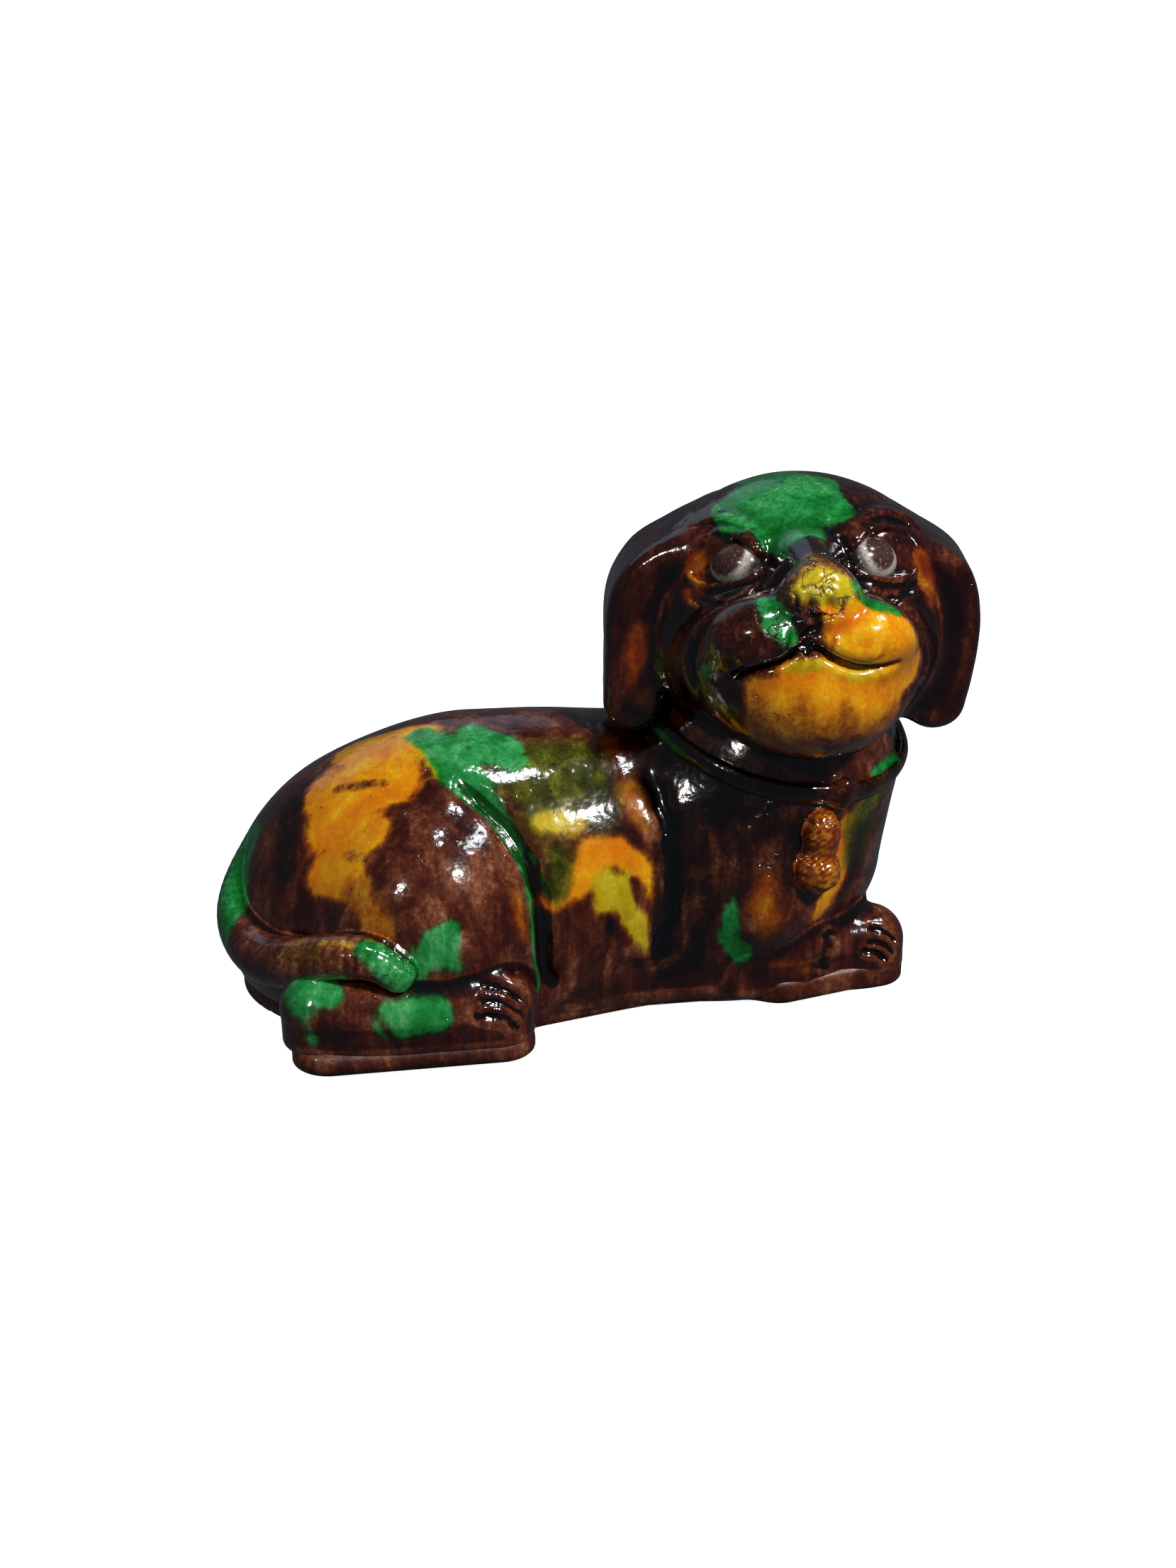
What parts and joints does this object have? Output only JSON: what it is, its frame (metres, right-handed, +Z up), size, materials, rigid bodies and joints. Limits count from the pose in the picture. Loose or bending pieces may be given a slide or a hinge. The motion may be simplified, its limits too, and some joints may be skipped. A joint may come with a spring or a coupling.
{
  "type": "recumbent dog figure",
  "caption": "Glazed pottery dog lying down with its head turned to its right, drooping ears, a collar with a drop pendant, and a tail curled round the haunch, on a flat slab base.",
  "frame": {"origin": "on the flat resting face, on the mid-plane of the trunk, under the middle of the figure's length", "axes": "+X towards the chest, +Z up, the dog's right flank and its turned face towards -Y"},
  "size_m": [0.2032, 0.1162, 0.1343],
  "materials": {
    "bare_clay": "satin",
    "mottled_glaze": "gloss",
    "foot_glaze": "gloss",
    "tail_glaze": "gloss",
    "face_glaze": "gloss",
    "skull_glaze": "gloss",
    "ear_glaze": "gloss",
    "eye_slip": "gloss",
    "collar_glaze": "gloss",
    "pendant_glaze": "gloss"
  },
  "bodies": {
    "root": {"base_slab": "bare_clay", "body_right_half": "mottled_glaze", "body_left_half": "mottled_glaze", "right_hind_foot": "foot_glaze", "left_hind_foot": "foot_glaze", "right_foreleg": "foot_glaze", "left_foreleg": "foot_glaze", "tail": "tail_glaze", "face_shell": "face_glaze", "skull_shell": "skull_glaze", "right_ear": "ear_glaze", "left_ear": "ear_glaze", "right_eye": "eye_slip", "left_eye": "eye_slip", "collar": "collar_glaze", "pendant": "pendant_glaze"}
  },
  "joints": []
}
